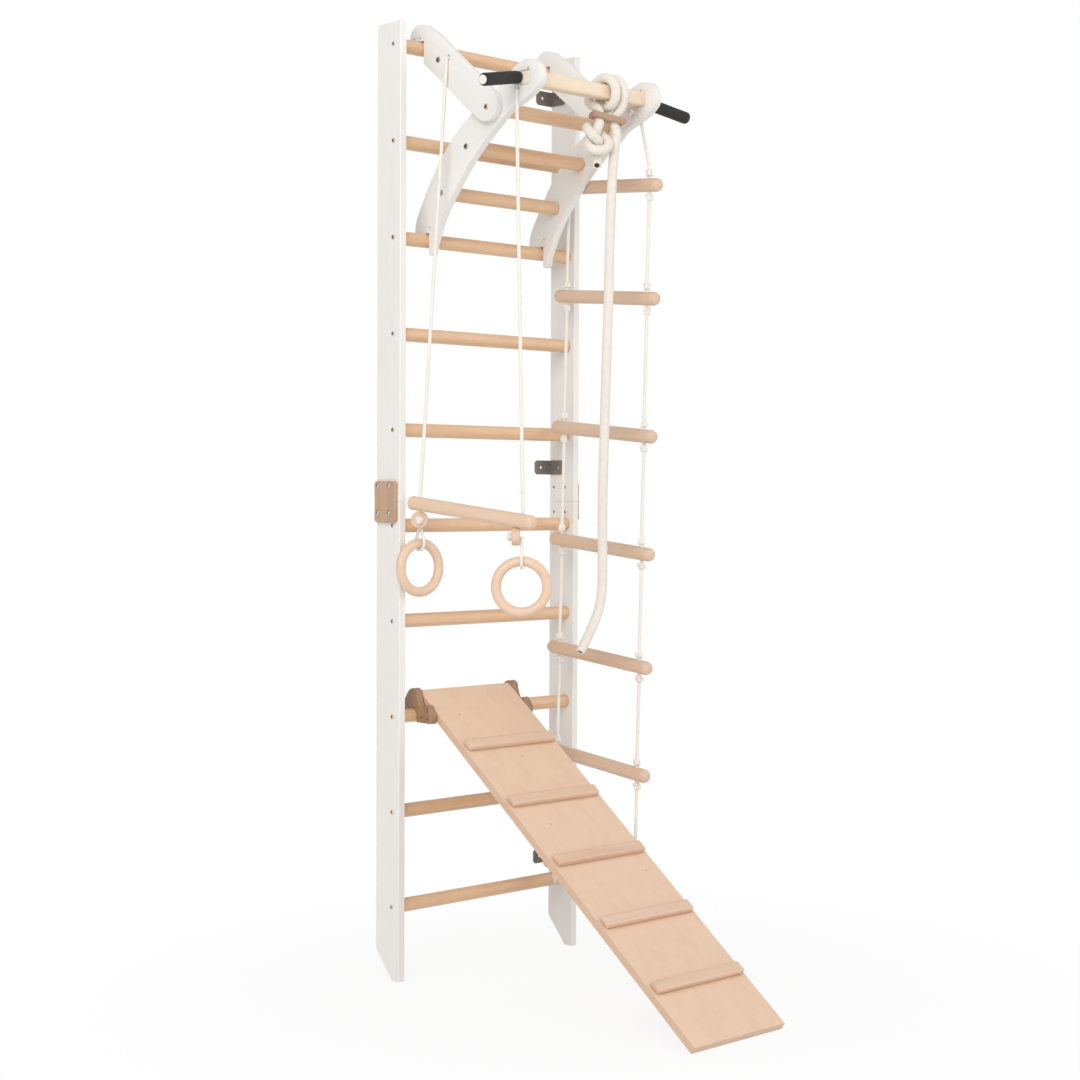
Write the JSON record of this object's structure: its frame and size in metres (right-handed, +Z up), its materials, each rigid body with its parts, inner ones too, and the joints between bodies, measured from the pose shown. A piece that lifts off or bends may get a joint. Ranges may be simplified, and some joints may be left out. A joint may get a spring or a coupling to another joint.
{
  "type": "climbing frame",
  "caption": "Home wall bars with white posts and wooden rungs, a lift-off pull-up frame, a trapeze with rings, a rope ladder, a climbing rope and a climbing board.",
  "frame": {"origin": "on the floor, below the middle of the bounding box", "axes": "+Z up; +Y from the climber towards the wall; +X from the trapeze towards the rope ladder, along the wall rungs"},
  "size_m": [0.6462, 0.9372, 2.2054],
  "materials": {
    "white_paint": "plywood painted white, satin",
    "beech": "clear varnish",
    "plywood": "clear varnish, matt",
    "bracket_steel": "dark coating, dull",
    "grip_foam": "matt foam",
    "cotton_rope": "braided"
  },
  "bodies": {
    "wall_bars": {"post_left_lower": "white_paint", "post_left_upper": "white_paint", "joint_plate_left": "plywood", "wall_bracket_left_top": "bracket_steel", "wall_bracket_left_middle": "bracket_steel", "wall_bracket_left_bottom": "bracket_steel", "post_right_lower": "white_paint", "post_right_upper": "white_paint", "joint_plate_right": "plywood", "wall_bracket_right_top": "bracket_steel", "wall_bracket_right_middle": "bracket_steel", "wall_bracket_right_bottom": "bracket_steel", "wall_rung_01": "beech", "wall_rung_02": "beech", "wall_rung_03": "beech", "wall_rung_04": "beech", "wall_rung_05": "beech", "wall_rung_06": "beech", "wall_rung_07": "beech", "wall_rung_08": "beech", "wall_rung_09": "beech", "wall_rung_10": "beech"},
    "pullup_frame": {"upper_arm_left": "white_paint", "lower_arm_left": "white_paint", "hand_grip_left": "grip_foam", "upper_arm_right": "white_paint", "lower_arm_right": "white_paint", "hand_grip_right": "grip_foam", "pullup_bar": "beech", "cross_rung_a": "beech", "cross_rung_b": "beech", "cross_rung_c": "beech"},
    "board": {"climbing_board": "plywood", "board_cleat_1": "beech", "board_cleat_2": "beech", "board_cleat_3": "beech", "board_cleat_4": "beech", "board_cleat_5": "beech", "board_hook_left": "plywood", "board_hook_right": "plywood"},
    "trapeze": {"trapeze_bar": "beech", "trapeze_rope_rear": "cotton_rope", "adjuster_disc_rear": "beech", "trapeze_rope_front": "cotton_rope", "adjuster_disc_front": "beech"},
    "ring_rear_body": {"ring_rear": "beech", "ring_rope_rear": "cotton_rope"},
    "ring_front_body": {"ring_front": "beech", "ring_rope_front": "cotton_rope"},
    "rope_ladder": {"ladder_rung_1": "beech", "ladder_rung_2": "beech", "ladder_rung_3": "beech", "ladder_rung_4": "beech", "ladder_rung_5": "beech", "ladder_rung_6": "beech", "ladder_rung_7": "beech", "ladder_rope_rear": "cotton_rope", "ladder_rope_front": "cotton_rope"},
    "long_rope": {"climbing_rope": "cotton_rope", "rope_adjuster": "plywood"}
  },
  "joints": [
    {"name": "frame_lift", "type": "slide", "parent": "wall_bars", "child": "pullup_frame", "axis": [0, 0, 1], "range_m": [0, 0.06]},
    {"name": "board_hook_turn", "type": "hinge", "parent": "wall_bars", "child": "board", "pos_m": [0, 0.4115, 0.61], "axis": [-1, 0, 0], "range_deg": [0, 30]},
    {"name": "rope_swing", "type": "hinge", "parent": "pullup_frame", "child": "long_rope", "pos_m": [0, 0.0665, 2.03604], "axis": [-1, 0, 0], "range_deg": [-12, 30]},
    {"name": "trapeze_swing", "type": "hinge", "parent": "pullup_frame", "child": "trapeze", "pos_m": [-0.2116, 0.30628, 2.11304], "axis": [-0.0744, 0.9017, 0.4258], "range_deg": [0, 25]},
    {"name": "ladder_swing", "type": "hinge", "parent": "pullup_frame", "child": "rope_ladder", "pos_m": [0.2116, 0.30628, 2.11304], "axis": [-0.0744, -0.9017, -0.4258], "range_deg": [0, 25]},
    {"name": "ring_rear_swing", "type": "hinge", "parent": "trapeze", "child": "ring_rear_body", "pos_m": [-0.24029, 0.3619, 1.06408], "axis": [-0.6782, -0.7349, 0], "range_deg": [-3, 30]},
    {"name": "ring_front_swing", "type": "hinge", "parent": "trapeze", "child": "ring_front_body", "pos_m": [-0.21054, 0.04712, 1.0311], "axis": [0.7349, -0.6782, 0], "range_deg": [-30, 30]}
  ]
}
